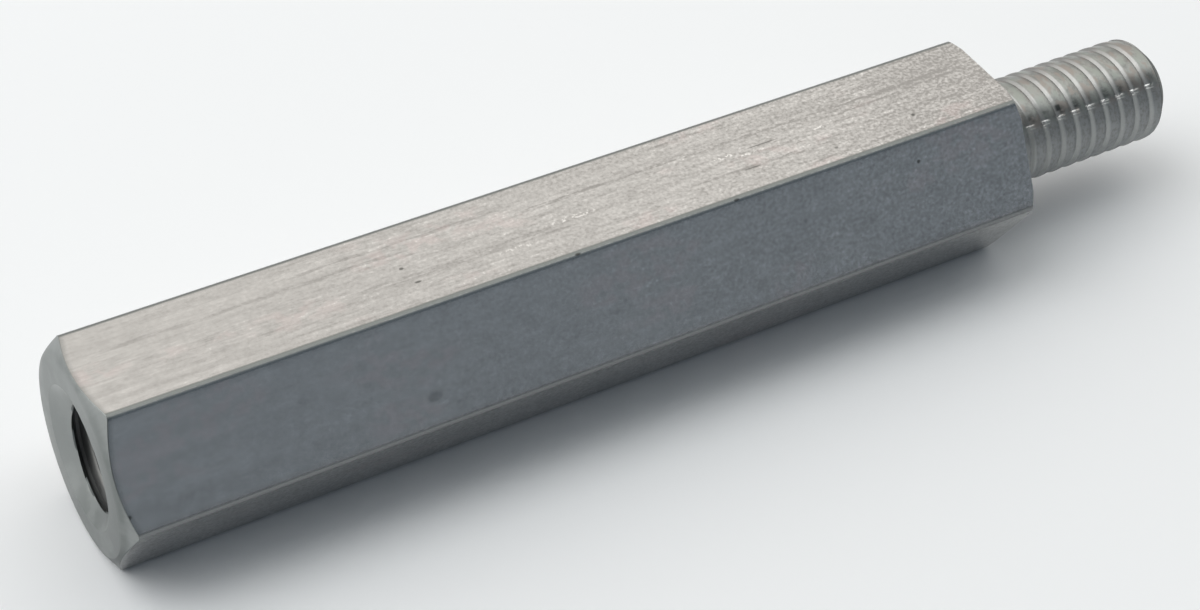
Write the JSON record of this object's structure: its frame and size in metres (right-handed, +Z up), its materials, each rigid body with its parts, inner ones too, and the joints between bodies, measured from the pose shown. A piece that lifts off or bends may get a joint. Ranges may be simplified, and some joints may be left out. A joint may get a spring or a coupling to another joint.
{
  "type": "hex standoff",
  "caption": "Hexagonal spacer turned from aluminium bar, with a threaded stud on one end and a blind tapped hole in the other, for stacking boards and panels.",
  "frame": {"origin": "centre of the shoulder, the end face that the stud stands on", "axes": "+X along the axis towards the stud's tip, the body along -X, +Z up with the bar lying on a flat"},
  "size_m": [0.043, 0.008, 0.007],
  "materials": {
    "aluminium": "bare drawn bar with faint lengthwise die lines on the flats, turned end faces and chamfers, cut threads"
  },
  "bodies": {
    "root": {"hex_standoff": "aluminium"}
  },
  "joints": []
}
